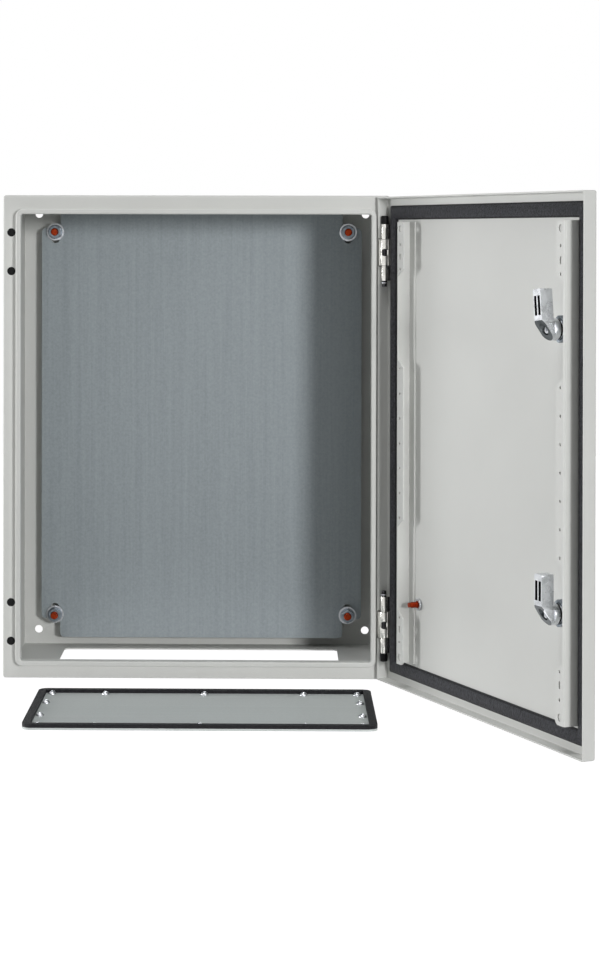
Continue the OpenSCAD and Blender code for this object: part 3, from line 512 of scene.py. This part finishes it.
def foam_length(run, width, height):
    """A half-elliptic bead along X; its outer edge is at y = 0 and run long."""
    bead = bmesh.new()
    bmesh.ops.create_circle(bead, segments=BEAD_SIDES, radius=1)
    low = [v for v in bead.verts if v.co.y < -1e-6]
    bmesh.ops.delete(bead, geom=low, context="VERTS")
    bmesh.ops.scale(bead, verts=bead.verts, vec=(width / 2, height, 1))
    bmesh.ops.rotate(bead, verts=bead.verts, cent=(0, 0, 0), matrix=TO_UPRIGHT)
    bmesh.ops.translate(bead, verts=bead.verts, vec=(-run / 2, -width / 2, 0))
    edges = bead.edges[:]
    for _ in range(BEAD_STEPS):
        out = bmesh.ops.extrude_edge_only(bead, edges=edges)["geom"]
        moved = [g for g in out if isinstance(g, bmesh.types.BMVert)]
        edges = [g for g in out if isinstance(g, bmesh.types.BMEdge)
                 and all(v in moved for v in g.verts)]
        bmesh.ops.translate(bead, verts=moved, vec=(run / BEAD_STEPS, 0, 0))
    for end in (-1, 1):
        bmesh.ops.bisect_plane(
            bead, geom=bead.verts[:] + bead.edges[:] + bead.faces[:], dist=1e-7,
            plane_co=(end * run / 2, 0, 0), plane_no=(end, -1, 0), clear_outer=True,
        )
    return bead


# %% [markdown]
# ## Measure the seal
# The bead has to fill exactly the outline of the CAD seal, so its size is read from that node
# with the door turned shut. Only the width of the strip is given.

# %% Half width, half height and depth of the seal
SEAL_W = 14.5 * MM
shut_seal = [to_shut @ v.co for v in nodes["door_seal"].data.vertices]
seal_half_w = max(v.x for v in shut_seal)
seal_half_h = max(v.z for v in shut_seal)
seal_height = max(v.y for v in shut_seal) - DOOR_SHEET_Y
print("seal:", [round(v / MM, 1) for v in (2 * seal_half_w, 2 * seal_half_h, seal_height)])

# %% [markdown]
# ## Close the seal
# The lengths lie flat at first, each turned a quarter further than the last. Merging their
# mitred ends makes one bead, and a bridge between its two open rims is the foot that sticks to
# the sheet. At the end the frame is stood up against the door and swung open with it.

# %% Four lengths make the seal
seal = bmesh.new()
for quarter in range(4):
    half_run, half_far = seal_half_w, seal_half_h
    if quarter % 2:
        half_run, half_far = seal_half_h, seal_half_w
    bead = foam_length(2 * half_run, SEAL_W, seal_height)
    bmesh.ops.translate(bead, verts=bead.verts, vec=(0, half_far, 0))
    bmesh.ops.rotate(
        bead, verts=bead.verts, cent=(0, 0, 0),
        matrix=Matrix.Rotation(math.radians(90 * quarter), 3, "Z"))
    part = bpy.data.meshes.new("length")
    bead.to_mesh(part)
    bead.free()
    seal.from_mesh(part)
    bpy.data.meshes.remove(part)
bmesh.ops.remove_doubles(seal, verts=seal.verts, dist=1e-5)
rims = [e for e in seal.edges if e.is_boundary]
bmesh.ops.bridge_loops(seal, edges=rims)
bmesh.ops.recalc_face_normals(seal, faces=seal.faces)
stand_up = Matrix.Translation((0, DOOR_SHEET_Y, 0)) @ Matrix.Rotation(math.radians(-90), 4, "X")
bmesh.ops.transform(seal, matrix=to_open @ stand_up, verts=seal.verts)
seal_mesh = bpy.data.meshes.new("foam_bead")
seal.to_mesh(seal_mesh)
seal.free()
print("foam bead:", len(seal_mesh.polygons), "faces, height", round(seal_height / MM, 2), "mm")

# %% [markdown]
# ## Crown and foot of the seal
# The crown of the bead stretches as the foam rises and shows its open cells. Low on its sides,
# where the bead meets the sheet, it is given the darker gasket finish as painted shade.

# %% Two finishes on the bead
FOOT_SHADE_SHARE = 0.62
foam_bead = into_scene("foam_bead", seal_mesh)
dress(foam_bead, FOAM)
seal_mesh.materials.append(GASKET_AND_FOOT_SHADE)
# Faces low on the bead's sides get the darker finish as painted shade.
for polygon in seal_mesh.polygons:
    rise = (to_shut @ polygon.center).y - DOOR_SHEET_Y
    if rise < FOOT_SHADE_SHARE * seal_height:
        polygon.material_index = 1
finish_piece(foam_bead, "door_seal", "door", sharp=math.radians(60))
print("foot faces:", sum(p.material_index for p in seal_mesh.polygons))

# %% [markdown]
# ## Threads
# A thread seen from a little way off reads as close rings. Each stud is a saw-toothed profile
# spun once round its axis, so that its free end catches the light in lines. A short plain end is
# left at the root's thickness, as on a real stud whose thread runs out.

# %% The saw-toothed profile
RING_DEPTH = 0.6


def thread_outline(radius, length, pitch, plain, plain_r):
    """Points (radius, height) up one side of a stud, from its foot to its tip."""
    root = radius - RING_DEPTH * pitch
    outline = [(0, 0)]
    if plain:
        outline += [(plain_r, 0), (plain_r, plain)]
    rings = int((length - plain - 2 * pitch) / pitch)
    for ring in range(rings):
        z = plain + ring * pitch
        outline += [(root, z), (radius, z + pitch / 2)]
    return outline + [(root, plain + rings * pitch), (root, length), (0, length)]


# %% [markdown]
# ## Spin the studs
# The profile is drawn as a line of edges and spun a full turn, whose last step is merged with the
# first. One stud is spun, and then copied to each of its places, because all studs of one piece
# are alike.

# %% A ringed stud
STUD_SIDES = 32


def ringed_stud(name, radius, length, pitch, places, plain=0.0, plain_r=0.0):
    """Spins one stud along +Z for each place matrix; plain is a smooth shoulder's length."""
    rod = bmesh.new()
    outline = thread_outline(radius, length, pitch, plain, plain_r)
    points = [rod.verts.new((x, 0, z)) for x, z in outline]
    line = [rod.edges.new(pair) for pair in zip(points, points[1:])]
    bmesh.ops.spin(
        rod, geom=points + line, cent=(0, 0, 0), axis=(0, 0, 1), angle=math.tau,
        steps=STUD_SIDES, use_merge=True, use_duplicate=False,
    )
    bmesh.ops.remove_doubles(rod, verts=rod.verts, dist=1e-6)
    bmesh.ops.recalc_face_normals(rod, faces=rod.faces)
    one = bpy.data.meshes.new("stud")
    rod.to_mesh(one)
    rod.free()
    everything = bmesh.new()
    for place in places:
        copy = one.copy()
        copy.transform(place)
        everything.from_mesh(copy)
        bpy.data.meshes.remove(copy)
    bpy.data.meshes.remove(one)
    mesh = bpy.data.meshes.new(name)
    everything.to_mesh(mesh)
    everything.free()
    piece = into_scene(name, mesh)
    dress(piece, COPPER)
    return piece


# %% [markdown]
# ## The four studs of the plate
# M8 studs are welded to the rear wall and carry the mounting plate on spacers. They stand at the
# corners of a rectangle round the middle of the box and point to the front.

# %% Plate studs
STUD_X, STUD_Z = 162.5 * MM, 212.5 * MM
STUD_FOOT_Y = -1.5 * MM
to_front = Matrix.Rotation(math.radians(90), 4, "X")
plate_places = [
    Matrix.Translation((x * STUD_X, STUD_FOOT_Y, z * STUD_Z)) @ to_front
    for x in (-1, 1) for z in (-1, 1)
]
plate_threads = ringed_stud(
    "plate_stud_threads", radius=4 * MM, length=32.6 * MM, pitch=1.25 * MM,
    places=plate_places)
finish_piece(plate_threads, "plate_studs", "enclosure", sharp=math.radians(50))
print("plate studs:", len(plate_threads.data.polygons), "faces")

# %% [markdown]
# ## The earth stud of the door
# An M6 stud with a shoulder is welded low on the inside of the door. On the shut door it points
# back into the box, so it is placed there and swung open.

# %% Earth stud
EARTH_X, EARTH_Z = 127.4 * MM, -161 * MM
to_back = to_front.inverted()
earth_place = to_open @ Matrix.Translation((EARTH_X, DOOR_SHEET_Y, EARTH_Z)) @ to_back
earth_thread = ringed_stud(
    "earth_stud_thread", radius=3 * MM, length=12 * MM, pitch=1 * MM,
    places=[earth_place], plain=2.6 * MM, plain_r=3.7 * MM)
finish_piece(earth_thread, "earth_stud", "door", sharp=math.radians(50))
print("earth stud:", len(earth_thread.data.polygons), "faces")

# %% [markdown]
# ## Camera
# The view is from well in front with a long lens, level, and to the right of the box, so the box
# shows almost square on while the door opens towards the viewer. A small shift keeps the lens
# level although the box lies below and left of its axis.

# %% Camera at the viewing angle
PITCH_DOWN = math.radians(0.4)
ROLL = math.radians(-0.1)
YAW = math.radians(0.9)
camera_data = bpy.data.cameras.new("camera")
camera_data.sensor_width = 36
camera_data.lens = 84.5
camera_data.shift_x = 0.064
camera_data.shift_y = -0.2366
camera_data.clip_end = 40
camera = into_scene("camera", camera_data)
camera.location = (0.0802, -2.5205, 0.207)
camera.rotation_euler = (math.radians(90) - PITCH_DOWN, ROLL, YAW)
bpy.context.scene.camera = camera
print("camera:", [round(v, 3) for v in camera.location], "lens", camera_data.lens)


# %% [markdown]
# ## Lamps
# The lamp to the right of the camera stands almost in line with the open door, so it lights the
# flanges, the left wall and the plate, and leaves the soft upright shade of the right wall on the
# plate. The one on the left lights the inside of the door, and the one overhead lights the gland
# plate.

# %% Three lamps
def lamp(name, place, target, size, power):
    """A round lamp that faces its target; size in metres, power in watts."""
    data = bpy.data.lights.new(name, "AREA")
    data.shape = "DISK"
    data.size = size
    data.energy = power
    obj = into_scene(name, data)
    obj.location = place
    aim = Vector(target) - Vector(place)
    obj.rotation_euler = aim.to_track_quat("-Z", "Y").to_euler()
    print(name, power, "W")


lamp("key_right", (1.4, -3.61, 0.46), (0.1, -0.05, 0), size=0.5, power=67)
lamp("fill_left", (-3.0, 0.05, 0.25), (0.25, -0.35, 0), size=1.1, power=68)
lamp("soft_top", (-0.2, -1.0, 2.6), (0, -0.35, -0.25), size=0.8, power=26)


# %% [markdown]
# ## Room
# Metal and the camera see the room white, and so would glass. As a light on painted faces it
# stays low, so that the insides of the box and the rails keep their shade. The kind of ray tells
# the two apart.

# %% A room that is white to look at and dim as a light
ROOM_AS_LIGHT = 0.08


def seen_directly(tree):
    """1 for camera, mirror and glass rays, 0 for the rays that light painted faces."""
    path = tree.nodes.new("ShaderNodeLightPath")
    total = path.outputs["Is Camera Ray"]
    for ray in ("Is Glossy Ray", "Is Transmission Ray"):
        either = tree.nodes.new("ShaderNodeMath")
        either.operation = "MAXIMUM"
        tree.links.new(total, either.inputs[0])
        tree.links.new(path.outputs[ray], either.inputs[1])
        total = either.outputs[0]
    return total


world = bpy.data.worlds.new("pale_room")
bpy.context.scene.world = world
world.use_nodes = True
room = world.node_tree
sky = room.nodes["Background"]
sky.inputs["Color"].default_value = (1, 1, 1, 1)
level = room.nodes.new("ShaderNodeMapRange")
level.inputs["To Min"].default_value = ROOM_AS_LIGHT
level.inputs["To Max"].default_value = 1.0
room.links.new(seen_directly(room), level.inputs["Value"])
room.links.new(level.outputs["Result"], sky.inputs["Strength"])
print("room as a light:", ROOM_AS_LIGHT)

# %% [markdown]
# ## Floor paint
# The floor is off-white and dull. Seen directly it glows a little as well, so that floor and room
# run together in white, while a shadow on it still shows. The glow goes through the same ray test
# as the room, so it adds nothing to the light on the box.

# %% Glowing pale paint
GLOW = 0.92
floor_paint, floor_shader = new_finish("pale_floor")
floor_shader.inputs["Base Color"].default_value = shade(235, 235, 235)
floor_shader.inputs["Roughness"].default_value = 0.9
floor_shader.inputs["Emission Color"].default_value = (1, 1, 1, 1)
tree = floor_paint.node_tree
glow = tree.nodes.new("ShaderNodeMapRange")
glow.inputs["To Max"].default_value = GLOW
tree.links.new(seen_directly(tree), glow.inputs["Value"])
tree.links.new(glow.outputs["Result"], floor_shader.inputs["Emission Strength"])
print("finish:", floor_paint.name, "glow", GLOW)

# %% [markdown]
# ## Floor
# A plain floor lies well under the box, because a wall box hangs above the ground. It is wide
# enough to reach out of view on all sides.

# %% A wide floor
FLOOR_Z = -1.2
FLOOR_HALF = 12
floor_mesh = bpy.data.meshes.new("floor")
plane = bmesh.new()
bmesh.ops.create_grid(plane, x_segments=1, y_segments=1, size=FLOOR_HALF)
bmesh.ops.translate(plane, verts=plane.verts, vec=(0, 0, FLOOR_Z))
plane.to_mesh(floor_mesh)
plane.free()
floor_mesh.materials.append(floor_paint)
floor = into_scene("floor", floor_mesh)
print("floor at", FLOOR_Z)

# %% [markdown]
# ## Colour management
# The standard view shows a colour about as it is written, with no film curve over it.

# %% Standard view
bpy.context.scene.view_settings.view_transform = "Standard"
print("view:", bpy.context.scene.view_settings.view_transform)
